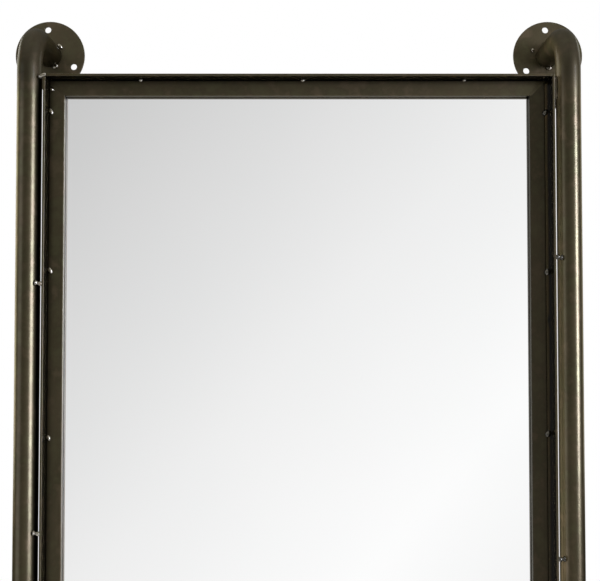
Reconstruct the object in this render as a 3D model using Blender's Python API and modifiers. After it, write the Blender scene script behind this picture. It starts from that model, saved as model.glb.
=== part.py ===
"""A tall floor mirror in a welded pipe frame, tied back to the wall at the top.

Two upright tubes stand on round foot plates, bend back at the top and end in round wall plates. Between
them is a flat-bar rim standing on edge. A frame of box-section face bars stands inside the rim, against its
left, top and bottom bars and a little way off its right one. The glass lies on foam tape behind the face
bars, with a backing board held in by turn buttons.

Metres, +Z up. The mirror faces -Y and the wall is on the +Y side. The origin is on the floor, in the
middle of the object's width and depth.
"""

import math

import bmesh
import bpy
from mathutils import Matrix, Vector

# Driving dimensions
GAP = 0.0003                    # between pieces that touch
OVERALL_HEIGHT = 1.800          # floor to the top of the wall plates
TUBE_OD = 0.032
TUBE_WALL = 0.0015
TUBE_SPACING = 0.6932           # between the axes of the two tubes
STANDOFF = 0.125                # tube axis to the wall
BEND_RADIUS = 0.048             # of the tube's centre line, one and a half diameters

PLATE_RADIUS = 0.048
PLATE_THICKNESS = 0.003
PLATE_EDGE = 0.0004
SCREW_CIRCLE_RADIUS = 0.0365
SCREW_HOLE_RADIUS = 0.0044
SCREW_COUNT = 3
SCREW_TURN = math.radians(5)    # of the hole pattern away from straight up
PAD_THICKNESS = 0.002
PAD_RADIUS = 0.046

RIM_WIDTH = 0.653               # over the outer faces of the rim
RIM_TOP_BELOW_STUB = 0.057      # rim's top edge, below the axis of the tube's end
RIM_BOTTOM = 0.110              # rim's bottom edge, above the floor
RIM_THICKNESS = 0.003
RIM_DEPTH = 0.050
RIM_FORWARD = 0.014             # rim's front edge, in front of the tube axis
RIM_EDGE = 0.0005

FACE_SETBACK = 0.024            # from the rim's front edge to the face bar
FACE_ROOM_RIGHT = 0.005         # between the face frame and the rim's right bar
BAR_WIDTH = 0.020
BAR_DEPTH = 0.010
BAR_WALL = 0.0015
BAR_CORNER = 0.0012             # outer corner radius of the box section
BAR_INNER_CORNER = 0.0003

TAPE_WIDTH = 0.006
TAPE_THICKNESS = 0.001
TAPE_INSET = 0.001              # from the face bar's inner edge to the tape
GLASS_THICKNESS = 0.004
GLASS_ARRIS = 0.0005
BOARD_THICKNESS = 0.003
GLASS_OVERLAP = 0.009           # of the glass over the face bar

BUTTON_THICKNESS = 0.002
BUTTON_HALF_WIDTH = 0.0048
BUTTON_REACH = 0.020            # from pivot to tip
BUTTON_EDGE = 0.0003
PIVOT_TO_BAR_EDGE = 0.005       # from the pivot to the face bar's outer edge
SHOULDER_RADIUS = 0.0040
SHANK_RADIUS = 0.0025
HEAD_RADIUS = 0.0044
HEAD_THICKNESS = 0.0014
HEAD_FLAT_RADIUS = 0.0031       # of the flat top inside the head's chamfer
HEAD_CHAMFER = 0.0006
SIDE_BUTTON_COUNT = 3
SIDE_BUTTON_SPACING = 0.480

# Smoothness of the round pieces
TUBE_BEVEL_RESOLUTION = 14      # gives 2 * 14 + 4 sides
BEND_STEPS = 12
PLATE_SIDES = 64
HOLE_SIDES = 20
STUD_STEPS = 20
CORNER_STEPS = 3
BUTTON_END_STEPS = 10

# Derived places
TUBE_X = TUBE_SPACING / 2
TUBE_Y = (PLATE_RADIUS - STANDOFF) / 2
WALL_Y = TUBE_Y + STANDOFF
STUB_Z = OVERALL_HEIGHT - PLATE_RADIUS
FOOT_TOP = PAD_THICKNESS + GAP + PLATE_THICKNESS

RIM_HALF_WIDTH = RIM_WIDTH / 2
RIM_TOP = STUB_Z - RIM_TOP_BELOW_STUB
RIM_MIDDLE_Z = (RIM_TOP + RIM_BOTTOM) / 2
RIM_HALF_HEIGHT = (RIM_TOP - RIM_BOTTOM) / 2
RIM_FRONT_Y = TUBE_Y - RIM_FORWARD

BAR_FRONT_Y = RIM_FRONT_Y + FACE_SETBACK
BAR_BACK_Y = BAR_FRONT_Y + BAR_DEPTH
FACE_X = (GAP - FACE_ROOM_RIGHT) / 2    # middle of the face frame, the glass and the board
BAR_OUTER_X = RIM_HALF_WIDTH - RIM_THICKNESS - (GAP + FACE_ROOM_RIGHT) / 2      # from FACE_X
BAR_OUTER_Z = RIM_HALF_HEIGHT - RIM_THICKNESS - GAP
OPENING_X = BAR_OUTER_X - BAR_WIDTH
OPENING_Z = BAR_OUTER_Z - BAR_WIDTH

TAPE_Y = BAR_BACK_Y + GAP
GLASS_Y = TAPE_Y + TAPE_THICKNESS + GAP
BOARD_Y = GLASS_Y + GLASS_THICKNESS + GAP
BUTTON_Y = BOARD_Y + BOARD_THICKNESS + GAP
HEAD_Y = BUTTON_Y + BUTTON_THICKNESS + GAP

PIVOT_X = BAR_OUTER_X - PIVOT_TO_BAR_EDGE
PIVOT_Z = BAR_OUTER_Z - PIVOT_TO_BAR_EDGE

FACING_FRONT = math.radians(90)     # turns local +Z to face -Y
FACING_BACK = math.radians(-90)     # turns local +Z to face +Y
LEFT, RIGHT = -1, 1
DOWN, UP = -1, 1


def clear_scene():
    for obj in list(bpy.data.objects):
        bpy.data.objects.remove(obj, do_unlink=True)


def new_collection(name):
    collection = bpy.data.collections.new(name)
    bpy.context.scene.collection.children.link(collection)
    return collection


def new_material(name, colour, roughness, metallic):
    material = bpy.data.materials.new(name)
    material.use_nodes = True
    shader = material.node_tree.nodes["Principled BSDF"]
    shader.inputs["Base Color"].default_value = (*colour, 1.0)
    shader.inputs["Roughness"].default_value = roughness
    shader.inputs["Metallic"].default_value = metallic
    return material


def new_object(name, data, collection, material=None):
    obj = bpy.data.objects.new(name, data)
    collection.objects.link(obj)
    if material:
        data.materials.clear()
        data.materials.append(material)
    return obj


def mesh_from(build):
    """A mesh from a bmesh that `build` fills in."""
    shape = bmesh.new()
    build(shape)
    mesh = bpy.data.meshes.new("shape")
    shape.to_mesh(mesh)
    shape.free()
    return mesh


def round_edges(obj, width, segments):
    bevel = obj.modifiers.new("Bevel", "BEVEL")
    bevel.width = width
    bevel.segments = segments
    bevel.limit_method = "ANGLE"
    bevel.angle_limit = math.radians(50)


def make_box(name, size, centre, material, edge=0.0):
    def build(shape):
        bmesh.ops.create_cube(shape, size=1.0)
        bmesh.ops.scale(shape, vec=size, verts=shape.verts)

    obj = new_object(name, mesh_from(build), parts, material)
    obj.location = centre
    if edge:
        round_edges(obj, edge, 2)
    return obj


def make_cylinder(name, radius, height, sides, collection, material=None):
    """A cylinder about local Z, from 0 to `height`."""

    def build(shape):
        bmesh.ops.create_cone(
            shape, cap_ends=True, segments=sides, radius1=radius, radius2=radius, depth=height,
            matrix=Matrix.Translation((0, 0, height / 2)),
        )

    mesh = mesh_from(build)
    mesh.shade_smooth()
    mesh.set_sharp_from_angle(angle=math.radians(40))
    return new_object(name, mesh, collection, material)


def cut(obj, cutter):
    """Cuts `cutter` out of `obj`. The cutter stays as a hidden helper."""
    cutter.hide_render = True
    cutter.display_type = "WIRE"
    boolean = obj.modifiers.new("Cut", "BOOLEAN")
    boolean.operation = "DIFFERENCE"
    boolean.object = cutter


def to_mesh_object(source, name, collection):
    """The evaluated curve as a closed mesh object in the same place. The curve is removed."""
    bpy.context.view_layer.update()
    evaluated = source.evaluated_get(bpy.context.evaluated_depsgraph_get())
    mesh = bpy.data.meshes.new_from_object(evaluated)
    shape = bmesh.new()
    shape.from_mesh(mesh)
    bmesh.ops.remove_doubles(shape, verts=shape.verts, dist=0.00001)
    bmesh.ops.recalc_face_normals(shape, faces=shape.faces)
    shape.to_mesh(mesh)
    shape.free()
    obj = bpy.data.objects.new(name, mesh)
    obj.matrix_world = source.matrix_world.copy()
    collection.objects.link(obj)
    bpy.data.objects.remove(source)
    return obj


def outline(curve, points):
    """Adds one closed outline to a flat curve."""
    spline = curve.splines.new("POLY")
    spline.points.add(len(points) - 1)
    for spline_point, (x, y) in zip(spline.points, points):
        spline_point.co = (x, y, 0, 1)
    spline.use_cyclic_u = True


def arc(centre_x, centre_y, radius, start, end, steps):
    angles = [start + (end - start) * i / steps for i in range(steps + 1)]
    return [(centre_x + radius * math.cos(a), centre_y + radius * math.sin(a)) for a in angles]


def rounded_rectangle(half_width, half_height, radius):
    points = []
    corners = ((1, 1), (-1, 1), (-1, -1), (1, -1))
    for i, (side_x, side_y) in enumerate(corners):
        start = i * math.pi / 2
        points += arc(
            side_x * (half_width - radius), side_y * (half_height - radius),
            radius, start, start + math.pi / 2, CORNER_STEPS,
        )
    return points


def extruded(name, outlines, thickness):
    """A flat outline, with any inner outlines cut out, as a plate centred on local z = 0."""
    curve = bpy.data.curves.new(name, "CURVE")
    curve.dimensions = "2D"
    curve.fill_mode = "BOTH"
    curve.extrude = thickness / 2
    for points in outlines:
        outline(curve, points)
    source = new_object(name + "_outline", curve, helpers)
    return to_mesh_object(source, name, parts)


def make_tube(name, side, material):
    """One upright: straight up from its foot plate, a quarter bend back, a stub to the wall plate."""
    bend_y = TUBE_Y + BEND_RADIUS
    bend_z = STUB_Z - BEND_RADIUS
    points = [(TUBE_Y, FOOT_TOP + GAP)]
    points += arc(bend_y, bend_z, BEND_RADIUS, math.pi, math.pi / 2, BEND_STEPS)
    points.append((WALL_Y - PLATE_THICKNESS - GAP, STUB_Z))

    curve = bpy.data.curves.new(name, "CURVE")
    curve.dimensions = "3D"
    curve.bevel_depth = TUBE_OD / 2
    curve.bevel_resolution = TUBE_BEVEL_RESOLUTION
    spline = curve.splines.new("POLY")
    spline.points.add(len(points) - 1)
    for spline_point, (y, z) in zip(spline.points, points):
        spline_point.co = (0, y, z, 1)
    tube = new_object(name, curve, parts, material)
    tube.location.x = side * TUBE_X

    wall = tube.modifiers.new("Tube wall", "SOLIDIFY")
    wall.thickness = TUBE_WALL
    wall.offset = -1
    return tube


def make_drilled_plate(name, radius, thickness, material, edge):
    """A round plate about local Z, from 0 to `thickness`, with its ring of screw holes."""
    plate = make_cylinder(name, radius, thickness, PLATE_SIDES, parts, material)
    if edge:
        round_edges(plate, edge, 1)
    for i in range(SCREW_COUNT):
        angle = SCREW_TURN + math.radians(90 + 360 * i / SCREW_COUNT)
        drill_name = f"{name}_drill_{i + 1}"
        drill = make_cylinder(drill_name, SCREW_HOLE_RADIUS, 3 * thickness, HOLE_SIDES, helpers)
        drill.location = (
            SCREW_CIRCLE_RADIUS * math.cos(angle), SCREW_CIRCLE_RADIUS * math.sin(angle), -thickness,
        )
        drill.parent = plate
        cut(plate, drill)
    return plate


def make_plates(side_name, side, steel, rubber):
    """The wall plate, foot plate and foot pad of one upright."""
    wall_plate = make_drilled_plate(
        side_name + "_wall_flange", PLATE_RADIUS, PLATE_THICKNESS, steel, PLATE_EDGE
    )
    wall_plate.rotation_euler.x = FACING_FRONT
    wall_plate.location = (side * TUBE_X, WALL_Y, STUB_Z)

    foot_plate = make_drilled_plate(
        side_name + "_foot_flange", PLATE_RADIUS, PLATE_THICKNESS, steel, PLATE_EDGE
    )
    foot_plate.location = (side * TUBE_X, TUBE_Y, PAD_THICKNESS + GAP)

    pad = make_drilled_plate(side_name + "_foot_pad", PAD_RADIUS, PAD_THICKNESS, rubber, 0.0)
    pad.location = (side * TUBE_X, TUBE_Y, 0)


def make_rim(material):
    """Four flat bars on edge. The side bars run the full height and the others fit between them."""
    middle_y = RIM_FRONT_Y + RIM_DEPTH / 2
    for name, side in (("left", LEFT), ("right", RIGHT)):
        x = side * (RIM_HALF_WIDTH - RIM_THICKNESS / 2)
        size = (RIM_THICKNESS, RIM_DEPTH, 2 * RIM_HALF_HEIGHT)
        make_box("rim_" + name, size, (x, middle_y, RIM_MIDDLE_Z), material, RIM_EDGE)
    for name, end in (("bottom", DOWN), ("top", UP)):
        z = RIM_MIDDLE_Z + end * (RIM_HALF_HEIGHT - RIM_THICKNESS / 2)
        size = (2 * (RIM_HALF_WIDTH - RIM_THICKNESS - GAP), RIM_DEPTH, RIM_THICKNESS)
        make_box("rim_" + name, size, (0, middle_y, z), material, RIM_EDGE)


def make_mitre_cutter(name, corner_x, corner_z, towards_x, towards_z):
    """A block whose one face lies on the mitre through a frame corner, on the side away from a bar."""
    size = 4 * BAR_WIDTH

    def build(shape):
        bmesh.ops.create_cube(shape, size=size)

    cutter = new_object(name, mesh_from(build), helpers)
    away = Vector((towards_x, 0, towards_z)).normalized()
    cutter.rotation_euler.y = math.radians(45)
    corner = Vector((corner_x, BAR_FRONT_Y + BAR_DEPTH / 2, corner_z))
    cutter.location = corner + away * (size / 2 - GAP / 2)
    return cutter


def make_face_bar(name, axis, side, material):
    """One box-section bar, mitred at both ends. `axis` is the way it runs, X or Z."""
    half_depth = BAR_DEPTH / 2
    outer = rounded_rectangle(BAR_WIDTH / 2, half_depth, BAR_CORNER)
    inner = rounded_rectangle(BAR_WIDTH / 2 - BAR_WALL, half_depth - BAR_WALL, BAR_INNER_CORNER)
    half_length = BAR_OUTER_Z if axis == "Z" else BAR_OUTER_X
    bar = extruded(name, (outer, inner), 2 * half_length)
    bar.data.materials.append(material)
    middle_y = BAR_FRONT_Y + half_depth
    if axis == "Z":
        bar.location = (FACE_X + side * (BAR_OUTER_X - BAR_WIDTH / 2), middle_y, RIM_MIDDLE_Z)
    else:
        bar.rotation_euler.y = math.radians(90)
        bar.location = (FACE_X, middle_y, RIM_MIDDLE_Z + side * (BAR_OUTER_Z - BAR_WIDTH / 2))

    for end in (-1, 1):
        # The mitre runs through the frame's outer corner, and the cutter lies on the neighbour's side.
        side_x, side_z = (side, end) if axis == "Z" else (end, side)
        away_x, away_z = (-side_x, side_z) if axis == "Z" else (side_x, -side_z)
        cutter = make_mitre_cutter(
            f"{name}_mitre_{'low' if end < 0 else 'high'}",
            FACE_X + side_x * BAR_OUTER_X, RIM_MIDDLE_Z + side_z * BAR_OUTER_Z, away_x, away_z,
        )
        cut(bar, cutter)
    return bar


def make_tape(material):
    """Foam tape around the opening. The side strips run the full height."""
    y = TAPE_Y + TAPE_THICKNESS / 2
    inner_x = OPENING_X + TAPE_INSET
    inner_z = OPENING_Z + TAPE_INSET
    for name, side in (("left", LEFT), ("right", RIGHT)):
        size = (TAPE_WIDTH, TAPE_THICKNESS, 2 * (inner_z + TAPE_WIDTH))
        x = FACE_X + side * (inner_x + TAPE_WIDTH / 2)
        make_box("glazing_tape_" + name, size, (x, y, RIM_MIDDLE_Z), material)
    for name, end in (("bottom", DOWN), ("top", UP)):
        size = (2 * (inner_x - GAP), TAPE_THICKNESS, TAPE_WIDTH)
        z = RIM_MIDDLE_Z + end * (inner_z + TAPE_WIDTH / 2)
        make_box("glazing_tape_" + name, size, (FACE_X, y, z), material)


def make_glass_and_board(mirror, board):
    width = 2 * (OPENING_X + GLASS_OVERLAP)
    height = 2 * (OPENING_Z + GLASS_OVERLAP)
    make_box(
        "mirror_glass", (width, GLASS_THICKNESS, height),
        (FACE_X, GLASS_Y + GLASS_THICKNESS / 2, RIM_MIDDLE_Z), mirror, GLASS_ARRIS,
    )
    make_box(
        "backing_board", (width, BOARD_THICKNESS, height),
        (FACE_X, BOARD_Y + BOARD_THICKNESS / 2, RIM_MIDDLE_Z), board,
    )


def button_mesh(material):
    """A flat turn button in the local XY plane. Its pivot is at the origin and it points along +X."""
    radius = BUTTON_HALF_WIDTH
    quarter = math.pi / 2
    outer = arc(BUTTON_REACH - radius, 0, radius, -quarter, quarter, BUTTON_END_STEPS)
    outer += arc(0, 0, radius, quarter, 3 * quarter, BUTTON_END_STEPS)
    hole = arc(0, 0, SHANK_RADIUS + GAP, 0, 2 * math.pi, HOLE_SIDES)[:-1]
    pattern = extruded("turn_button_pattern", (outer, hole), BUTTON_THICKNESS)
    mesh = pattern.data
    mesh.materials.append(material)
    mesh.shade_smooth()
    mesh.set_sharp_from_angle(angle=math.radians(40))
    bpy.data.objects.remove(pattern)
    return mesh


def make_stud(name, x, z, material):
    """A shouldered stud: its shoulder is as deep as the glass and board, and its head traps the button."""
    button_face = BUTTON_Y - GAP - BAR_BACK_Y - GAP
    neck = HEAD_Y - BAR_BACK_Y - GAP
    top = neck + HEAD_THICKNESS
    profile = [
        (0, top), (HEAD_FLAT_RADIUS, top), (HEAD_RADIUS, top - HEAD_CHAMFER), (HEAD_RADIUS, neck),
        (SHANK_RADIUS, neck), (SHANK_RADIUS, button_face), (SHOULDER_RADIUS, button_face),
        (SHOULDER_RADIUS, 0), (0, 0),
    ]
    mesh = bpy.data.meshes.new(name)
    mesh.from_pydata([(r, 0, h) for r, h in profile], [(i, i + 1) for i in range(len(profile) - 1)], [])
    stud = new_object(name, mesh, parts, material)
    turn = stud.modifiers.new("Turned", "SCREW")
    turn.steps = STUD_STEPS
    turn.render_steps = STUD_STEPS
    turn.use_merge_vertices = True
    turn.merge_threshold = 0.00001
    stud.rotation_euler.x = FACING_BACK
    stud.location = (x, BAR_BACK_Y + GAP, z)


def make_button(name, mesh, x, z, pointing):
    """One turn button, closed: `pointing` is the angle from +X to +Z of the way its tip points."""
    button = new_object(name, mesh, parts)
    round_edges(button, BUTTON_EDGE, 1)
    button.rotation_euler = (FACING_FRONT, -pointing, 0)
    button.location = (x, BUTTON_Y + BUTTON_THICKNESS / 2, z)


def make_turn_buttons(zinc):
    """Turn buttons on their studs: the side ones point across the board, the end ones up or down it."""
    mesh = button_mesh(zinc)
    middle = (SIDE_BUTTON_COUNT + 1) / 2
    for side_name, side in (("left", LEFT), ("right", RIGHT)):
        pointing = 0.0 if side == LEFT else math.pi
        x = FACE_X + side * PIVOT_X
        for i in range(1, SIDE_BUTTON_COUNT + 1):
            z = RIM_MIDDLE_Z + (i - middle) * SIDE_BUTTON_SPACING
            make_button(f"turn_button_{side_name}_{i}", mesh, x, z, pointing)
            make_stud(f"pivot_stud_{side_name}_{i}", x, z, zinc)
    for end_name, end in (("bottom", DOWN), ("top", UP)):
        z = RIM_MIDDLE_Z + end * PIVOT_Z
        make_button("turn_button_" + end_name, mesh, FACE_X, z, -end * math.pi / 2)
        make_stud("pivot_stud_" + end_name, FACE_X, z, zinc)


clear_scene()
parts = new_collection("pipe_frame_floor_mirror")
helpers = new_collection("cutters")

bronze = new_material("dark_bronze_steel", (0.055, 0.048, 0.036), 0.38, 0.85)
silvered = new_material("mirror_glass", (0.92, 0.93, 0.93), 0.02, 1.0)
fibreboard = new_material("fibreboard", (0.24, 0.15, 0.09), 0.85, 0.0)
foam = new_material("glazing_foam", (0.03, 0.03, 0.03), 0.9, 0.0)
rubber_black = new_material("pad_rubber", (0.02, 0.02, 0.02), 0.85, 0.0)
zinc_plate = new_material("zinc_plate", (0.62, 0.63, 0.62), 0.35, 1.0)

for tube_name, tube_side in (("left", LEFT), ("right", RIGHT)):
    make_tube(tube_name + "_upright_tube", tube_side, bronze)
    make_plates(tube_name, tube_side, bronze, rubber_black)
make_rim(bronze)
for bar_name, bar_axis, bar_side in (
    ("left", "Z", LEFT), ("right", "Z", RIGHT), ("bottom", "X", DOWN), ("top", "X", UP)
):
    make_face_bar("face_bar_" + bar_name, bar_axis, bar_side, bronze)
make_tape(foam)
make_glass_and_board(silvered, fibreboard)
make_turn_buttons(zinc_plate)
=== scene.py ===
"""The looks of the pipe-framed floor mirror: finishes, weld metal, light, floor and camera.

Metres, +Z up. The mirror faces -Y and the wall is on the +Y side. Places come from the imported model's boxes.
"""

import math

import bmesh
import bpy
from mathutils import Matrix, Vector, noise


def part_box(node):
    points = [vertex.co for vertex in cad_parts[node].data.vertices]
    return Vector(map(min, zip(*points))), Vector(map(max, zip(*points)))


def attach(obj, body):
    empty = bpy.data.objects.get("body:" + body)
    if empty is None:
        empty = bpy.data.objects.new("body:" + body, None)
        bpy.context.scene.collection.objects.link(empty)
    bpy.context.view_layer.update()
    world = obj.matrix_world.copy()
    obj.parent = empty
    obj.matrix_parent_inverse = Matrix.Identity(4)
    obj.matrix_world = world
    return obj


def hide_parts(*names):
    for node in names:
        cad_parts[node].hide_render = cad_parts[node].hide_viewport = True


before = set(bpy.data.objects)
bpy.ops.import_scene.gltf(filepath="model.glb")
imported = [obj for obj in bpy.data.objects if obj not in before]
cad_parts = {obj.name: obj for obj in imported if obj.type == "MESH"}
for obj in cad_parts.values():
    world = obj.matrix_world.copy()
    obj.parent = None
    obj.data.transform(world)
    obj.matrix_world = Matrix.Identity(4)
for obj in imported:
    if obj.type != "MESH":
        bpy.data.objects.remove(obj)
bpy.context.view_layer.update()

BODY = "frame"
SIDES = {"left": -1, "right": 1}
FORWARD = (0, -1, 0)            # the way the mirror faces

# The camera stands in front of the upper part and looks up a little
CAMERA_DISTANCE = 1.5           # from the tubes' axes
CAMERA_HEIGHT = 1.3425
CAMERA_PITCH = math.radians(2.32)
CAMERA_YAW = math.radians(-0.05)
CAMERA_LENS = 70.52
CAMERA_SENSOR = 36.0
CAMERA_SHIFT_Y = 0.02

# Light and floor
DAYLIGHT = (0.70, 0.75, 1.0)
NEUTRAL = (1.0, 0.99, 0.97)
PANEL_WATTS = 4.0               # per square metre of a panel of brightness 1
FRONT_TARGET_HEIGHT = 1.22      # where the front panels aim
REAR_TARGET = (0, 0, 1.0)
FLOOR_RADIUS = 3.2
FLOOR_SOLID_RADIUS = 1.3        # the floor is whole to here and fades out to its edge
FLOOR_SIDES = 128

# The surroundings: a band of grey levels over the dot product of a direction with this slope
GREY_SLOPE = (1.0, 0.0, -0.9)
GREY_STOPS = (
    (-1.0, 0.72), (-0.62, 0.56), (-0.38, 0.59), (-0.09, 0.806), (0.0, 0.875), (0.115, 0.94),
    (0.225, 0.998), (0.36, 0.935), (0.7, 0.6), (1.0, 0.5),
)
DIM_BEHIND = 0.3                # how bright the wall side is
BRIGHT_OVERHEAD = 1.8

# The upright tubes
TUBE_WALL = 0.0015
BEND_RADIUS = 0.048             # of the centre line
BEND_STEPS = 36
FACES_AROUND = 96
MATT_HEIGHT = 1.680             # above here, round the bend, the lacquer is matt
MATT_DEPTH = 0.010              # but no further back than this
MATT_FADE = 0.035
MATT_ROUGHNESS = 0.20           # added to the tube's own
MATT_DARKENING = 0.55

# Sizes of the weld metal
TACK_WIDTH = 0.0074
TACK_HEIGHT = 0.0032
SINK = 0.0012                   # how deep weld metal reaches into what it joins
RUN_STEP = 0.0005               # length of a run's faces
RUN_SIDES = 20
MIN_RUN_STEPS = 14
WOBBLE = 0.14                   # how uneven a run is, and how fast that changes along and across it
WOBBLE_ALONG = 2.3
WOBBLE_ACROSS = 1.1
RIPPLE_PITCH = 0.0016
RIPPLE_DEPTH = 0.00018
RIPPLE_CURVE = 0.9              # how far a ripple bends back at its sides
DRESSED_WIDTH = 0.0034          # weld metal that was ground flush
DRESSED_HEIGHT = 0.00005
DRESSED_INSET = 0.0006          # from the bar's corners
TACK_ON_TUBE = 0.0108           # from the tube's axis to where a bridging tack starts
TACK_BEND = 0.0152              # from the tube's axis to where it bends
TACK_ON_RIM = 0.0016            # how far it reaches over the rim
TACK_SET_BACK = 0.0014          # how far it sits behind the rim's front edge
TACK_LEAN = 0.0010              # the most that one end is higher than the middle
BAR_TACK_REACH = 0.62           # how much of its full width a tack on a bar has, give or take the next
BAR_TACK_SPREAD = 0.10
BAR_TACK_SLANT = 0.36           # how much of its length its ends stand above and below the middle
CORNER_RUN_LENGTH = 0.014
CORNER_RUN_WIDTH = 0.0040
CORNER_RUN_HEIGHT = 0.0011
STUB_TACK_RADIUS = 0.0170       # from the tube's axis
STUB_TACK_LENGTH = 0.0085

# Where the tacks are. Tube tacks are heights. Bar tacks are (height, or x on a level bar, and length).
# Stub tacks are (distance from the tube's axis, angle in degrees, length).
TUBE_TACKS = {
    "left": (1.4272, 1.1122, 0.7952, 0.4802, 0.1662),
    "right": (1.4602, 1.0802, 0.7662, 0.4492, 0.1362),
}
UPRIGHT_BAR_TACKS = {
    "left": (
        (1.6805, 0.0060), (1.6515, 0.0118), (1.4450, 0.0110), (1.2305, 0.0100), (1.0215, 0.010),
        (0.8095, 0.010), (0.5985, 0.0105), (0.3865, 0.0095), (0.1765, 0.011),
    ),
    "right": (
        (1.6500, 0.0085), (1.4430, 0.0095), (1.2355, 0.0090), (1.0245, 0.0095),
        (0.8165, 0.009), (0.6055, 0.0095), (0.3925, 0.0095), (0.1845, 0.010),
    ),
}
UPRIGHT_BAR_TACK_REACH = {"left": 0.0068, "right": 0.0098}
LEVEL_BAR_TACKS = {
    "top": ((-0.205, 0.005), (0.005, 0.006), (0.214, 0.005)),
    "bottom": ((-0.211, 0.007), (0.004, 0.007), (0.209, 0.007)),
}
WALL_TACKS = {
    "left": ((0.0193, 43, 0.0092), (0.0172, -62, 0.0088), (0.0170, 140, 0.0085), (0.0170, 215, 0.0085)),
    "right": ((0.0225, 160, 0.0058), (0.0175, -84, 0.0085), (0.0170, 25, 0.0085), (0.0170, 100, 0.0080)),
}
FOOT_TACKS = tuple((STUB_TACK_RADIUS, angle, STUB_TACK_LENGTH) for angle in (40, 130, 222, 318))


# ---------------------------------------------------------------- materials

class Surface:
    """A material being built: a Principled shader, and short ways to add nodes to it."""

    def __init__(self, name):
        self.material = bpy.data.materials.new(name)
        self.material.use_nodes = True
        tree = self.material.node_tree
        self.nodes = tree.nodes
        self.links = tree.links
        self.shader = self.nodes["Principled BSDF"]
        self.coordinates = self.nodes.new("ShaderNodeTexCoord")
        self.place = self.coordinates.outputs["Object"]

    def plug(self, socket, value):
        """Links a node's output to a socket, or sets the socket to a plain value."""
        if isinstance(value, bpy.types.NodeSocket):
            self.links.new(value, socket)
        elif isinstance(value, tuple) and socket.type == "RGBA":
            socket.default_value = (*value, 1.0)
        else:
            socket.default_value = value

    def set(self, **values):
        for name, value in values.items():
            self.plug(self.shader.inputs[name.replace("_", " ")], value)

    def stretched(self, x, y, z):
        mapping = self.nodes.new("ShaderNodeMapping")
        mapping.inputs["Scale"].default_value = (x, y, z)
        self.links.new(self.place, mapping.inputs["Vector"])
        return mapping.outputs["Vector"]

    def noise(self, scale, detail=2.0, roughness=0.5, vector=None):
        texture = self.nodes.new("ShaderNodeTexNoise")
        texture.inputs["Scale"].default_value = scale
        texture.inputs["Detail"].default_value = detail
        texture.inputs["Roughness"].default_value = roughness
        self.links.new(vector or self.place, texture.inputs["Vector"])
        return texture.outputs["Fac"]

    def cells(self, scale, vector=None):
        texture = self.nodes.new("ShaderNodeTexVoronoi")
        texture.inputs["Scale"].default_value = scale
        self.links.new(vector or self.place, texture.inputs["Vector"])
        return texture.outputs["Distance"]

    def ramp(self, factor, *stops):
        """A colour ramp: stops are (place, colour), and a colour is a grey number or three numbers."""
        node = self.nodes.new("ShaderNodeValToRGB")
        elements = node.color_ramp.elements
        while len(elements) < len(stops):
            elements.new(1.0)
        for element, (position, colour) in zip(elements, stops):
            element.position = position
            rgb = colour if isinstance(colour, tuple) else (colour, colour, colour)
            element.color = (*rgb, 1.0)
        self.links.new(factor, node.inputs["Fac"])
        return node.outputs["Color"]

    def mix(self, factor, first, second):
        """Mixes two colours, by the colour sockets of a Mix node."""
        node = self.nodes.new("ShaderNodeMix")
        node.data_type = "RGBA"
        self.plug(node.inputs[0], factor)
        self.plug(node.inputs[6], first)
        self.plug(node.inputs[7], second)
        return node.outputs[2]

    def maths(self, operation, first, second=0.0, third=0.0, clamp=False):
        node = self.nodes.new("ShaderNodeMath")
        node.operation = operation
        node.use_clamp = clamp
        for socket, value in zip(node.inputs, (first, second, third)):
            self.plug(socket, value)
        return node.outputs[0]

    def spread(self, value, low, high):
        """Takes a 0 to 1 value to the range low to high."""
        return self.maths("MULTIPLY_ADD", value, high - low, low)

    def bump(self, height, depth, below=None):
        """A bump of `depth` metres, on top of another one if `below` is given."""
        node = self.nodes.new("ShaderNodeBump")
        node.inputs["Distance"].default_value = depth
        self.links.new(height, node.inputs["Height"])
        if below:
            self.links.new(below, node.inputs["Normal"])
        return node.outputs["Normal"]

    def rounded(self, radius):
        """The surface's normal with its sharp edges rounded off."""
        node = self.nodes.new("ShaderNodeBevel")
        node.samples = 6
        node.inputs["Radius"].default_value = radius
        return node.outputs["Normal"]

    def corners(self, reach):
        """1 in the open, and less in inner corners."""
        node = self.nodes.new("ShaderNodeAmbientOcclusion")
        node.samples = 8
        node.inputs["Distance"].default_value = reach
        return node.outputs["AO"]

    def beyond(self, axis, limit, fade):
        """0 before a place along an axis and 1 beyond it, over a fade of that many metres."""
        node = self.nodes.new("ShaderNodeSeparateXYZ")
        self.links.new(self.place, node.inputs["Vector"])
        slope = 1 / fade
        return self.maths("MULTIPLY_ADD", node.outputs[axis], slope, 0.5 - limit / fade, clamp=True)

    def edges(self, radius, low, high):
        """0 on flats and 1 on sharp edges."""
        geometry = self.nodes.new("ShaderNodeNewGeometry")
        both = self.nodes.new("ShaderNodeVectorMath")
        both.operation = "DOT_PRODUCT"
        self.links.new(self.rounded(radius), both.inputs[0])
        self.links.new(geometry.outputs["Normal"], both.inputs[1])
        node = self.nodes.new("ShaderNodeMapRange")
        node.inputs["From Min"].default_value = 1.0 - low
        node.inputs["From Max"].default_value = 1.0 - high
        self.links.new(both.outputs["Value"], node.inputs["Value"])
        return node.outputs["Result"]


DRAWN_UPRIGHT = (1.0, 1.0, 0.06)    # streaks along Z
DRAWN_LEVEL = (0.06, 1.0, 1.0)      # streaks along X
ROLLED = (1.0, 1.0, 1.0)            # no streaks

BRONZE_DARK = (0.039, 0.0320, 0.0165)
BRONZE_OLIVE = (0.050, 0.0455, 0.0225)
BRONZE_BROWN = (0.063, 0.0475, 0.0270)
# painted shade for inner corners and recesses
CORNER_SHADE_COLOUR = (0.006, 0.005, 0.004)
RUBBED_STEEL = (0.22, 0.205, 0.175)
MATT_BROWN = (0.008, 0.0065, 0.004)


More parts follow.
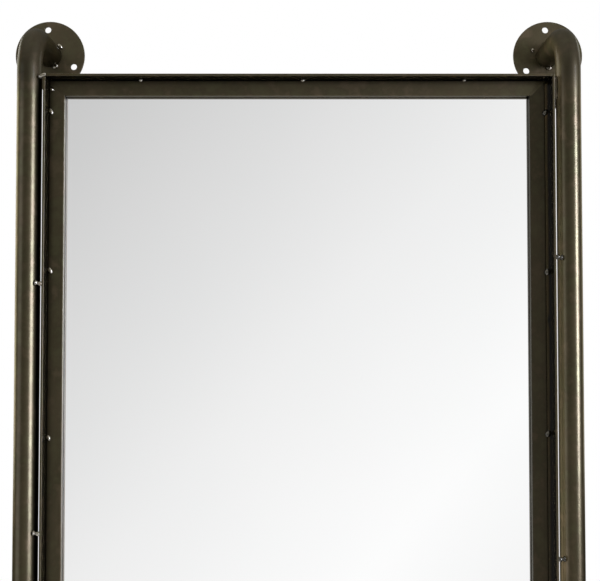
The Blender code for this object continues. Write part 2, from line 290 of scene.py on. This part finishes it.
def scaled(colour, brightness):
    return tuple(c * brightness for c in colour)


def bronze_steel(
    name, grain, brightness=1.0, rough=0.36, wear=0.6, edge=0.0004, sheen=0.5, corner_shade=0.75, coat=0.12,
    matt_bend=False,
):
    """Mill steel under a dark bronze lacquer: olive and brown clouds, drawing streaks, worn edges.

    `edge` is how far its edges are rounded, `sheen` is how bright it is at glancing angles, and `corner_shade`
    is how dark the shade painted into its inner corners is. With `matt_bend` the lacquer is darker and matt
    round the bend.
    """
    s = Surface(name)
    clouds = s.noise(14.0, 3.0, 0.55)
    patches = s.noise(55.0, 3.0, 0.6)
    streaks = s.noise(420.0, 2.0, 0.6, s.stretched(*grain))
    specks = s.noise(1500.0, 1.0)

    dark = scaled(BRONZE_DARK, brightness)
    olive = scaled(BRONZE_OLIVE, brightness)
    brown = scaled(BRONZE_BROWN, brightness)
    tone = s.ramp(patches, (0.34, olive), (0.52, dark), (0.68, brown))
    tone = s.mix(s.ramp(clouds, (0.35, 0.0), (0.7, 0.55)), tone, brown)
    tone = s.mix(s.ramp(streaks, (0.3, 0.0), (0.75, 0.2)), tone, olive)
    tone = s.mix(s.ramp(specks, (0.62, 0.0), (0.75, 0.25)), tone, dark)
    # painted shade: the tone darkens towards this near-black where ambient occlusion finds inner corners and
    # recesses
    tone = s.mix(s.ramp(s.corners(0.010), (0.35, corner_shade), (0.85, 0.0)), tone, CORNER_SHADE_COLOUR)

    rubbed = s.edges(0.0011, 0.03, 0.22)
    uneven = s.ramp(s.noise(160.0, 3.0, 0.65), (0.32, 0.1 * wear), (0.62, wear))
    rubbed = s.maths("MULTIPLY", rubbed, uneven)
    tone = s.mix(rubbed, tone, RUBBED_STEEL)

    roughness = s.spread(patches, rough - 0.05, rough + 0.09)
    roughness = s.maths("MULTIPLY_ADD", streaks, 0.04, roughness)
    roughness = s.maths("MULTIPLY_ADD", rubbed, -0.08, roughness)
    if matt_bend:
        high = s.beyond("Z", MATT_HEIGHT, MATT_FADE)
        stub = s.beyond("Y", MATT_DEPTH, MATT_FADE)
        matt = s.maths("MULTIPLY", high, s.maths("SUBTRACT", 1.0, stub))
        roughness = s.maths("MULTIPLY_ADD", matt, MATT_ROUGHNESS, roughness)
        tone = s.mix(s.maths("MULTIPLY", matt, MATT_DARKENING), tone, MATT_BROWN)

    waves = s.bump(s.noise(38.0, 2.0), 0.00016, s.rounded(edge))
    drawn = s.bump(streaks, 0.000004, waves)
    pores = s.bump(specks, 0.000006, drawn)
    s.set(Base_Color=tone, Metallic=1.0, Roughness=roughness, Normal=pores)
    s.set(Specular_Tint=(sheen, 0.98 * sheen, 0.91 * sheen))
    s.set(Coat_Weight=coat, Coat_Roughness=0.2, Coat_IOR=1.45)
    return s.material


def weld_metal(name, brightness):
    """Weld beads under the same lacquer, glassier than the steel, with a straw tint."""
    s = Surface(name)
    patches = s.noise(260.0, 3.0, 0.6)
    tint = s.noise(120.0, 1.0)
    dark = scaled((0.060, 0.054, 0.038), brightness)
    middle = scaled((0.105, 0.096, 0.074), brightness)
    bright = scaled((0.18, 0.17, 0.142), brightness)
    straw = scaled((0.100, 0.074, 0.055), brightness)
    tone = s.ramp(patches, (0.35, dark), (0.55, middle), (0.72, bright))
    tone = s.mix(s.ramp(tint, (0.5, 0.0), (0.7, 0.4)), tone, straw)
    s.set(Base_Color=tone, Metallic=1.0, Roughness=s.spread(patches, 0.16, 0.32))
    s.set(Normal=s.bump(s.noise(900.0, 2.0), 0.00006))
    s.set(Coat_Weight=0.3, Coat_Roughness=0.12, Coat_IOR=1.45)
    return s.material


def silvered_glass():
    """The pane: silver seen through its face, pale green ground edges and a grey painted back."""
    s = Surface("silvered_glass")
    facing = s.nodes.new("ShaderNodeSeparateXYZ")
    s.links.new(s.coordinates.outputs["Normal"], facing.inputs["Vector"])
    towards = facing.outputs["Y"]
    front = s.maths("LESS_THAN", towards, -0.9)
    back = s.maths("GREATER_THAN", towards, 0.9)
    dust = s.noise(700.0, 3.0, 0.7)
    paint = s.noise(30.0, 4.0, 0.6)
    edge = s.ramp(s.noise(420.0, 2.0), (0.3, (0.10, 0.26, 0.20)), (0.7, (0.22, 0.42, 0.34)))
    painted = s.ramp(paint, (0.3, (0.23, 0.24, 0.25)), (0.7, (0.30, 0.31, 0.32)))
    silver = s.ramp(s.noise(3.0, 2.0), (0.3, (0.965, 0.97, 0.97)), (0.7, (0.985, 0.985, 0.985)))
    tone = s.mix(front, s.mix(back, edge, painted), silver)
    ground = s.maths("MULTIPLY_ADD", dust, 0.12, 0.18)
    sides = s.maths("MULTIPLY_ADD", back, 0.35, ground)
    polished = s.ramp(dust, (0.55, 0.012), (0.85, 0.03))
    s.set(Base_Color=tone, Metallic=front, Roughness=s.mix(front, sides, polished))
    return s.material


def hardboard():
    """Bare hardboard: pressed brown fibres, darker flecks, a faint waxy face."""
    s = Surface("hardboard")
    blotches = s.noise(9.0, 4.0, 0.6)
    fibres = s.noise(900.0, 4.0, 0.75, s.stretched(1.0, 1.0, 0.35))
    flecks = s.cells(260.0, s.stretched(1.0, 1.0, 0.4))
    tone = s.ramp(blotches, (0.3, (0.19, 0.115, 0.066)), (0.7, (0.27, 0.175, 0.105)))
    tone = s.mix(s.ramp(fibres, (0.4, 0.0), (0.72, 0.5)), tone, (0.36, 0.25, 0.155))
    tone = s.mix(s.ramp(flecks, (0.05, 0.5), (0.22, 0.0)), tone, (0.09, 0.05, 0.028))
    s.set(Base_Color=tone, Roughness=s.spread(fibres, 0.55, 0.85))
    s.set(Normal=s.bump(fibres, 0.00005, s.bump(blotches, 0.0003)))
    return s.material


def foam():
    """Black closed-cell foam tape."""
    s = Surface("closed_cell_foam")
    pores = s.cells(2600.0)
    tone = s.ramp(pores, (0.1, (0.012, 0.012, 0.012)), (0.6, (0.04, 0.04, 0.041)))
    s.set(Base_Color=tone, Roughness=s.spread(pores, 0.75, 0.95), Normal=s.bump(pores, 0.00012))
    return s.material


def rubber():
    """Matt black sheet rubber with a dusty bloom."""
    s = Surface("sheet_rubber")
    bloom = s.noise(60.0, 4.0, 0.65)
    grain = s.noise(2400.0, 2.0)
    tone = s.ramp(bloom, (0.35, (0.014, 0.014, 0.014)), (0.75, (0.045, 0.043, 0.04)))
    s.set(Base_Color=tone, Roughness=s.spread(bloom, 0.62, 0.88), Normal=s.bump(grain, 0.00003))
    return s.material


def zinc():
    """Bright zinc plate: cool silver with a faint straw bloom, fine scratches and dulled edges."""
    s = Surface("bright_zinc")
    bloom = s.noise(210.0, 3.0, 0.6)
    scratches = s.noise(1400.0, 3.0, 0.7, s.stretched(0.12, 1.0, 1.0))
    tone = s.ramp(bloom, (0.3, (0.50, 0.53, 0.57)), (0.55, (0.62, 0.63, 0.63)), (0.75, (0.63, 0.60, 0.50)))
    rubbed = s.maths("MULTIPLY", s.edges(0.0005, 0.03, 0.2), s.ramp(bloom, (0.3, 0.2), (0.6, 0.8)))
    tone = s.mix(rubbed, tone, (0.36, 0.36, 0.35))
    roughness = s.maths("MULTIPLY_ADD", scratches, 0.22, 0.18)
    s.set(Base_Color=tone, Metallic=1.0, Roughness=roughness, Normal=s.bump(scratches, 0.00001))
    return s.material


def pale_floor():
    """A pale matt floor that is whole round the object and fades out further away."""
    s = Surface("pale_floor")
    tone = s.ramp(s.noise(2.5, 4.0, 0.6), (0.3, (0.78, 0.775, 0.765)), (0.7, (0.83, 0.825, 0.82)))
    s.set(Base_Color=tone, Roughness=0.7, Normal=s.bump(s.noise(300.0, 3.0), 0.0001))
    distance = s.nodes.new("ShaderNodeVectorMath")
    distance.operation = "LENGTH"
    s.links.new(s.place, distance.inputs[0])
    fade = s.nodes.new("ShaderNodeMapRange")
    fade.interpolation_type = "SMOOTHERSTEP"
    fade.inputs["From Min"].default_value = FLOOR_SOLID_RADIUS
    fade.inputs["From Max"].default_value = FLOOR_RADIUS
    fade.inputs["To Min"].default_value = 1.0
    fade.inputs["To Max"].default_value = 0.0
    s.links.new(distance.outputs["Value"], fade.inputs["Value"])
    s.set(Alpha=fade.outputs["Result"])
    return s.material


def finish_cad_nodes():
    """Gives every CAD node its finish, and stands a smooth tube for each faceted one."""
    tube = bronze_steel("bronze_tube", DRAWN_UPRIGHT, rough=0.27, wear=0.0, corner_shade=0.1, matt_bend=True)
    bar_left = bronze_steel("bronze_bar_left", DRAWN_UPRIGHT, brightness=0.95, rough=0.35, sheen=1.0)
    # the right face bar gets a darker copy of the bar steel: painted shade, for the right tube's shadow over
    # it
    bar_right = bronze_steel("bronze_bar_right", DRAWN_UPRIGHT, brightness=0.6, rough=0.35, sheen=0.7)
    bar_level = bronze_steel("bronze_bar_level", DRAWN_LEVEL, brightness=0.95, rough=0.40, wear=0.2)
    rim_upright = bronze_steel(
        "bronze_rim_upright", DRAWN_UPRIGHT, edge=0.0009, sheen=0.15, coat=0.09, corner_shade=0.35,
    )
    rim_level = bronze_steel("bronze_rim_level", DRAWN_LEVEL, edge=0.0006, sheen=0.15, coat=0.05)
    plate = bronze_steel("bronze_plate", ROLLED, brightness=1.05, rough=0.46, wear=0.3, corner_shade=0.2)
    by_prefix = {
        "face_bar_top": bar_level, "face_bar_bottom": bar_level,
        "face_bar_left": bar_left, "face_bar_right": bar_right,
        "rim_top": rim_level, "rim_bottom": rim_level, "rim_left": rim_upright, "rim_right": rim_upright,
        "mirror_glass": silvered_glass(), "backing_board": hardboard(), "glazing_tape": foam(),
        "turn_button": zinc(), "pivot_stud": zinc(),
    }
    by_ending = {"_upright_tube": tube, "_wall_flange": plate, "_foot_flange": plate, "_foot_pad": rubber()}
    for name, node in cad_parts.items():
        found = [m for start, m in by_prefix.items() if name.startswith(start)]
        found += [m for end, m in by_ending.items() if name.endswith(end)]
        node.data.materials.clear()
        node.data.materials.append(found[0])
    for side_name in SIDES:
        upright_tube(side_name, tube)


# ---------------------------------------------------------------- tubes

def upright_tube(side_name, material):
    """An upright tube, bent back at its top and open at both ends. It is round, and the solid is faceted."""
    low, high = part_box(side_name + "_upright_tube")
    radius = (high.x - low.x) / 2
    x = low.x + radius
    y = low.y + radius
    bend_y = y + BEND_RADIUS
    bend_z = high.z - radius - BEND_RADIUS
    stations = [(y, low.z, 0.0)]
    for i in range(BEND_STEPS + 1):
        turn = math.pi / 2 * i / BEND_STEPS
        stations.append((bend_y - BEND_RADIUS * math.cos(turn), bend_z + BEND_RADIUS * math.sin(turn), turn))
    stations.append((high.y, bend_z + BEND_RADIUS, math.pi / 2))

    shape = bmesh.new()
    skins = []
    for r in (radius, radius - TUBE_WALL):
        rings = []
        for centre_y, centre_z, turn in stations:
            ring = []
            for k in range(FACES_AROUND):
                a = 2 * math.pi * k / FACES_AROUND
                out = r * math.sin(a)
                spot = (x + r * math.cos(a), centre_y + out * math.cos(turn), centre_z - out * math.sin(turn))
                ring.append(shape.verts.new(spot))
            rings.append(ring)
        skins.append(rings)
        for first, second in zip(rings, rings[1:]):
            for k in range(FACES_AROUND):
                j = (k + 1) % FACES_AROUND
                shape.faces.new((first[k], first[j], second[j], second[k])).smooth = True
    outer, inner = skins
    for end in (0, -1):
        for k in range(FACES_AROUND):
            j = (k + 1) % FACES_AROUND
            rim = shape.faces.new((outer[end][k], outer[end][j], inner[end][j], inner[end][k]))
            for edge in rim.edges:
                edge.smooth = False
    bmesh.ops.recalc_face_normals(shape, faces=shape.faces)
    mesh = bpy.data.meshes.new(side_name + "_tube")
    shape.to_mesh(mesh)
    shape.free()
    mesh.materials.append(material)
    tube = bpy.data.objects.new(side_name + "_tube", mesh)
    bpy.context.scene.collection.objects.link(tube)
    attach(tube, BODY)
    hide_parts(side_name + "_upright_tube")


# ---------------------------------------------------------------- weld metal

def add_run(shape, start, end, up, width, height, fullness=2.0, ripple=RIPPLE_DEPTH, seed=0.0):
    """Adds one run of weld metal from start to end: a long rounded bead with crescent ripples.

    `fullness` is 2 for an oval tack, and more for a run whose sides stay parallel.
    """
    start, end, up = Vector(start), Vector(end), Vector(up).normalized()
    along = (end - start).normalized()
    across = up.cross(along).normalized()
    length = (end - start).length
    steps = max(MIN_RUN_STEPS, int(length / RUN_STEP))
    made = bmesh.ops.create_uvsphere(shape, u_segments=RUN_SIDES, v_segments=steps, radius=1.0)
    middle = (start + end) / 2
    for vert in made["verts"]:
        s = max(-1.0, min(1.0, vert.co.z))
        ring = math.hypot(vert.co.x, vert.co.y)
        turn = Vector((vert.co.x, vert.co.y)) / ring if ring > 1e-6 else Vector((0.0, 0.0))
        taper = (1 - abs(s) ** fullness) ** (1 / fullness)
        unevenness = noise.noise(Vector((s * WOBBLE_ALONG, turn.x * WOBBLE_ACROSS, seed)))
        wobble = 1 + WOBBLE * unevenness
        x = turn.x * width / 2 * taper * wobble
        y = turn.y * (height * wobble if turn.y > 0 else SINK) * taper
        if turn.y > 0 and ripple:
            crest = (s * length / 2 + RIPPLE_CURVE * turn.x ** 2 * width / 2) / RIPPLE_PITCH
            y += ripple * math.cos(2 * math.pi * crest) * turn.y * taper
        vert.co = middle + along * (s * length / 2) + across * x + up * y


def make_welds(name, build, material):
    """One object of weld metal, filled in by `build`, that moves with the frame."""
    shape = bmesh.new()
    build(shape)
    for face in shape.faces:
        face.smooth = True
    bmesh.ops.recalc_face_normals(shape, faces=shape.faces)
    mesh = bpy.data.meshes.new(name)
    shape.to_mesh(mesh)
    shape.free()
    mesh.materials.append(material)
    obj = bpy.data.objects.new(name, mesh)
    bpy.context.scene.collection.objects.link(obj)
    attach(obj, BODY)


def middle_of(node):
    low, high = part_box(node)
    return (low + high) / 2


def tube_to_rim(side_name, heights):
    """Tacks that bridge the tube and the rim's front edge, seen from the front."""
    side = SIDES[side_name]
    tube_low, tube_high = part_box(side_name + "_upright_tube")
    rim_low, rim_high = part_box("rim_" + side_name)
    tube_x = (tube_low.x + tube_high.x) / 2
    rim_x = rim_low.x if side < 0 else rim_high.x
    y = rim_low.y + TACK_SET_BACK
    wide, high = TACK_WIDTH, TACK_HEIGHT

    def build(shape):
        for i, z in enumerate(heights):
            lean = TACK_LEAN * math.sin(5.0 * i + side)
            start = (tube_x - side * TACK_ON_TUBE, y + 0.0006, z - lean)
            joint = (tube_x - side * TACK_BEND, y + 0.0002, z)
            end = (rim_x - side * TACK_ON_RIM, y, z + lean)
            add_run(shape, start, joint, FORWARD, wide, high, seed=i + 7.0 * side)
            add_run(shape, joint, end, FORWARD, wide * 0.85, high * 0.9, seed=i + 17.0 * side)
            add_run(shape, start, end, FORWARD, wide * 0.6, high * 0.7, fullness=3.0, seed=i)

    return build


def rim_to_bar(side_name, width, tacks):
    """Tacks from the rim in over the face bar, for a part of `width`. Each is (height, length)."""
    side = SIDES[side_name]
    rim_low, rim_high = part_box("rim_" + side_name)
    bar_low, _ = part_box("face_bar_" + side_name)
    rim_x = rim_high.x if side < 0 else rim_low.x
    y = bar_low.y - 0.0002

    def build(shape):
        for i, (z, length) in enumerate(tacks):
            reach = width * (BAR_TACK_REACH + BAR_TACK_SPREAD * math.sin(3.0 * i + 1.0))
            slant = BAR_TACK_SLANT * length
            start = (rim_x - side * 0.0010, y, z + slant)
            end = (rim_x - side * (0.0010 + reach), y, z - slant)
            across = 0.85 * min(width, length)
            add_run(shape, start, end, (-0.3 * side, -1, 0), across, 0.36 * across, seed=i + 3.0 * side)

    return build


def level_rim_to_bar(end_name, up, tacks):
    """Fillet tacks between a level rim bar and its face bar. Each is (x, length)."""
    rim_low, rim_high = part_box("rim_" + end_name)
    bar_low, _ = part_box("face_bar_" + end_name)
    out = 0.0005                # from the corner, towards the front and the middle of the frame
    y = bar_low.y - out
    z = (rim_low.z if up < 0 else rim_high.z) + up * out
    wide, high = TACK_WIDTH * 0.6, TACK_HEIGHT * 0.6

    def build(shape):
        for i, (x, length) in enumerate(tacks):
            start = (x - length / 2, y, z)
            end = (x + length / 2, y, z)
            add_run(shape, start, end, (0, -1, up), wide, high, seed=i + 11.0 * up)

    return build


def around_stub(plate_node, tacks):
    """Tacks round a tube's end on its plate. Each is (distance from the axis, degrees, length)."""
    plate_low, plate_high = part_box(plate_node)
    centre = middle_of(plate_node)
    first = Vector((1, 0, 0))
    if plate_node.endswith("wall_flange"):
        second, out = Vector((0, 0, 1)), Vector((0, -1, 0))
        centre.y = plate_low.y
    else:
        second, out = Vector((0, 1, 0)), Vector((0, 0, 1))
        centre.z = plate_high.z

    def build(shape):
        for i, (radius, degrees, length) in enumerate(tacks):
            angle = math.radians(degrees)
            away = first * math.cos(angle) + second * math.sin(angle)
            tangent = second * math.cos(angle) - first * math.sin(angle)
            spot = centre + away * radius + out * 0.0004
            up = (out + away * 0.7).normalized()
            add_run(
                shape, spot - tangent * length / 2, spot + tangent * length / 2, up,
                min(TACK_WIDTH, length) * 0.85, TACK_HEIGHT * 0.9, seed=i + 0.37,
            )

    return build


def dressed_mitres(shape):
    """Weld metal along the four mitres of the face bars, ground nearly flush."""
    outer_low, outer_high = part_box("face_bar_top")
    bottom_low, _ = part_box("face_bar_bottom")
    left_low, left_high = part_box("face_bar_left")
    near = DRESSED_INSET
    far = left_high.x - left_low.x - near
    for side in SIDES.values():
        for z, inwards in ((outer_high.z, -1), (bottom_low.z, 1)):
            x = outer_high.x if side > 0 else outer_low.x
            start = (x - side * near, outer_low.y, z + inwards * near)
            end = (x - side * far, outer_low.y, z + inwards * far)
            add_run(
                shape, start, end, FORWARD, DRESSED_WIDTH, DRESSED_HEIGHT, fullness=10.0, ripple=0.0,
                seed=side + 2.0 * inwards,
            )


def rim_corners(shape):
    """Short runs where the level rim bars meet the upright ones, on the outside of the frame."""
    top_low, top_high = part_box("rim_top")
    bottom_low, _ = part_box("rim_bottom")
    for side in SIDES.values():
        x = top_high.x * side
        for z, up in ((top_high.z, 1), (bottom_low.z, -1)):
            level = z - up * 0.0004
            for y in (top_low.y + 0.004, top_high.y - 0.020):
                add_run(
                    shape, (x, y, level), (x, y + CORNER_RUN_LENGTH, level), (0, 0, up),
                    CORNER_RUN_WIDTH, CORNER_RUN_HEIGHT, fullness=3.0, seed=side + y,
                )


def left_corner(shape):
    """A short bright run from the rim's upper left corner out over the gap beside the tube."""
    rim_low, rim_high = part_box("rim_left")
    x, y, top = rim_low.x, rim_low.y, rim_high.z
    start = (x - 0.0065, y + 0.0022, top - 0.0045)
    end = (x + 0.0040, y + 0.0010, top - 0.0005)
    add_run(shape, start, end, (0, -1, 0.25), 0.0052, 0.0034, fullness=2.4, seed=0.8)


def right_corner(shape):
    """Two dressed runs down the gap between the rim's upper right corner and the tube."""
    rim_low, rim_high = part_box("rim_right")
    x, y, top = rim_high.x + 0.0020, rim_low.y, rim_high.z
    upper = (x, y + 0.0080, top - 0.001), (x, y + 0.0074, top - 0.031)
    lower = (x, y + 0.0150, top - 0.026), (x, y + 0.0150, top - 0.042)
    add_run(shape, *upper, FORWARD, 0.0066, 0.0010, fullness=5.0, ripple=2 * RIPPLE_DEPTH, seed=4.1)
    add_run(shape, *lower, FORWARD, 0.0072, 0.0010, fullness=4.0, seed=5.3)


def make_weld_metal(bead, shaded_bead, dressed):
    """All the weld metal. The tacks along the right side get a darker copy of the weld metal, as painted
    shade.
    """
    by_side = {"left": bead, "right": shaded_bead}
    for side_name, material in by_side.items():
        make_welds(side_name + "_tube_tacks", tube_to_rim(side_name, TUBE_TACKS[side_name]), material)
    for side_name, material in by_side.items():
        build = rim_to_bar(side_name, UPRIGHT_BAR_TACK_REACH[side_name], UPRIGHT_BAR_TACKS[side_name])
        make_welds(side_name + "_bar_tacks", build, material)
    for end_name, up in (("top", -1), ("bottom", 1)):
        make_welds(end_name + "_bar_tacks", level_rim_to_bar(end_name, up, LEVEL_BAR_TACKS[end_name]), bead)

    make_welds("left_corner_weld", left_corner, bead)
    make_welds("right_corner_weld", right_corner, dressed)
    make_welds("rim_corner_welds", rim_corners, bead)
    make_welds("mitre_welds", dressed_mitres, dressed)

    for side_name in SIDES:
        wall_tacks = around_stub(side_name + "_wall_flange", WALL_TACKS[side_name])
        foot_tacks = around_stub(side_name + "_foot_flange", FOOT_TACKS)
        make_welds(side_name + "_wall_tacks", wall_tacks, bead)
        make_welds(side_name + "_foot_tacks", foot_tacks, bead)


# ---------------------------------------------------------------- light, floor and camera

def make_world():
    """Bright studio surroundings: white behind the object, and a soft grey gradient all round it."""
    world = bpy.data.worlds.new("studio")
    bpy.context.scene.world = world
    world.use_nodes = True
    nodes = world.node_tree.nodes
    links = world.node_tree.links
    nodes.clear()

    direction = nodes.new("ShaderNodeTexCoord").outputs["Generated"]
    across = nodes.new("ShaderNodeVectorMath")
    across.operation = "DOT_PRODUCT"
    across.inputs[1].default_value = GREY_SLOPE
    links.new(direction, across.inputs[0])
    reach = math.hypot(*GREY_SLOPE)
    position = nodes.new("ShaderNodeMapRange")
    position.inputs["From Min"].default_value = -reach
    position.inputs["From Max"].default_value = reach
    links.new(across.outputs["Value"], position.inputs["Value"])
    grey = nodes.new("ShaderNodeValToRGB")
    while len(grey.color_ramp.elements) < len(GREY_STOPS):
        grey.color_ramp.elements.new(1.0)
    for element, (t, value) in zip(grey.color_ramp.elements, GREY_STOPS):
        element.position = (t + reach) / (2 * reach)
        element.color = (value, value, value, 1.0)
    links.new(position.outputs["Result"], grey.inputs["Fac"])

    split = nodes.new("ShaderNodeSeparateXYZ")
    links.new(direction, split.inputs["Vector"])
    behind = nodes.new("ShaderNodeMapRange")
    behind.inputs["From Min"].default_value = 0.0
    behind.inputs["From Max"].default_value = 0.5
    behind.inputs["To Min"].default_value = 1.0
    behind.inputs["To Max"].default_value = DIM_BEHIND
    links.new(split.outputs["Y"], behind.inputs["Value"])
    overhead = nodes.new("ShaderNodeMapRange")
    overhead.inputs["From Min"].default_value = 0.35
    overhead.inputs["From Max"].default_value = 0.9
    overhead.inputs["To Max"].default_value = BRIGHT_OVERHEAD
    links.new(split.outputs["Z"], overhead.inputs["Value"])
    strength = nodes.new("ShaderNodeMath")
    links.new(behind.outputs["Result"], strength.inputs[0])
    links.new(overhead.outputs["Result"], strength.inputs[1])

    soft = nodes.new("ShaderNodeBackground")
    links.new(grey.outputs["Color"], soft.inputs["Color"])
    links.new(strength.outputs[0], soft.inputs["Strength"])
    white = nodes.new("ShaderNodeBackground")
    white.inputs["Color"].default_value = (1.0, 1.0, 1.0, 1.0)
    seen = nodes.new("ShaderNodeLightPath")
    choice = nodes.new("ShaderNodeMixShader")
    links.new(seen.outputs["Is Camera Ray"], choice.inputs["Fac"])
    links.new(soft.outputs["Background"], choice.inputs[1])
    links.new(white.outputs["Background"], choice.inputs[2])
    output = nodes.new("ShaderNodeOutputWorld")
    links.new(choice.outputs["Shader"], output.inputs["Surface"])


def softbox(name, target, azimuth, distance, height, size, brightness, colour, lit):
    """A soft panel, aimed at `target`, that lights only `lit`.

    It stands `azimuth` degrees from -Y towards +X, and `height` above the target.
    """
    light = bpy.data.lights.new(name, "AREA")
    light.shape = "RECTANGLE"
    light.size, light.size_y = size
    light.energy = PANEL_WATTS * brightness * size[0] * size[1]
    light.color = colour
    panel = bpy.data.objects.new(name, light)
    bpy.context.scene.collection.objects.link(panel)
    angle = math.radians(azimuth)
    away = Vector((math.sin(angle) * distance, -math.cos(angle) * distance, height))
    panel.location = Vector(target) + away
    aim = Vector(target) - panel.location
    panel.rotation_euler = aim.to_track_quat("-Z", "Y").to_euler()
    panel.visible_camera = False
    receivers = bpy.data.collections.new(name + "_lights")
    for obj in lit:
        receivers.objects.link(obj)
    panel.light_linking.receiver_collection = receivers
    return panel


def make_lights():
    """Soft panels in front, at the sides and behind. Each is for some of the pieces."""
    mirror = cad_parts["mirror_glass"]
    everything = [o for o in bpy.context.scene.objects if o.type == "MESH" and o != mirror]
    left = [o for o in everything if "left" in o.name]
    right = [o for o in everything if "right" in o.name]
    middle = [o for o in everything if o not in left and o not in right]
    right_tubes = [o for o in right if o.name.endswith("tube")]
    pale_names = ("turn_button", "pivot_stud", "backing_board", "floor")
    pale = [o for o in everything if o.name.startswith(pale_names)]
    steel = [o for o in everything if o not in pale]
    left_tube = middle_of("left_upright_tube")
    right_tube = middle_of("right_upright_tube")
    centre = (left_tube + right_tube) / 2
    for target in (left_tube, right_tube, centre):
        target.z = FRONT_TARGET_HEIGHT

    # name, target, azimuth, distance, height, size, brightness, colour, what it lights
    softbox("key_for_left", left_tube, 49, 3.0, 0.28, (1.15, 1.6), 27.0, DAYLIGHT, left + [mirror])
    softbox("key_for_right", right_tube, 54.5, 3.0, 0.38, (0.75, 1.4), 50.0, DAYLIGHT, right)
    softbox("key_for_middle", centre, 50, 3.0, 0.0, (1.3, 2.4), 13.0, DAYLIGHT, middle)
    softbox("side", left_tube, 92, 3.0, 0.0, (0.8, 2.4), 1.6, DAYLIGHT, left)
    softbox("fill", centre, -65, 3.0, 0.0, (1.9, 2.8), 1.2, DAYLIGHT, everything)
    gap_fill = softbox("gap_fill", right_tube, -104, 2.0, -0.42, (1.2, 1.7), 22.0, NEUTRAL, right_tubes)
    softbox("rear_left", REAR_TARGET, 238, 2.8, 0.9, (2.0, 2.2), 5.0, NEUTRAL, steel)
    softbox("rear_right", REAR_TARGET, 125, 2.8, 0.9, (1.6, 2.2), 2.5, NEUTRAL, steel)
    softbox("rear_pale", REAR_TARGET, 215, 2.8, 0.9, (2.0, 2.2), 1.4, NEUTRAL, pale)

    # Only the tubes themselves shade the light on the right tube's inner side
    gap_fill.light_linking.blocker_collection = gap_fill.light_linking.receiver_collection


def make_floor():
    bpy.ops.mesh.primitive_circle_add(vertices=FLOOR_SIDES, radius=FLOOR_RADIUS, fill_type="NGON")
    floor = bpy.context.object
    floor.name = "floor"
    floor.data.materials.append(pale_floor())


def make_camera():
    data = bpy.data.cameras.new("camera")
    data.lens = CAMERA_LENS
    data.sensor_width = CAMERA_SENSOR
    data.shift_y = CAMERA_SHIFT_Y
    camera = bpy.data.objects.new("camera", data)
    bpy.context.scene.collection.objects.link(camera)
    tube_y = middle_of("left_foot_flange").y
    camera.location = (0, tube_y - CAMERA_DISTANCE, CAMERA_HEIGHT)
    camera.rotation_euler = (math.radians(90) + CAMERA_PITCH, 0, CAMERA_YAW)
    bpy.context.scene.camera = camera


finish_cad_nodes()
make_weld_metal(
    bead=weld_metal("weld_bright", 1.8),
    # a darker copy of the weld metal: painted shade for the tacks along the right side
    shaded_bead=weld_metal("weld_dull", 0.55),
    dressed=bronze_steel("bronze_dressed", ROLLED, brightness=0.95, rough=0.40, wear=0.0),
)
make_floor()
make_world()
make_lights()
make_camera()
bpy.context.scene.view_settings.view_transform = "Standard"
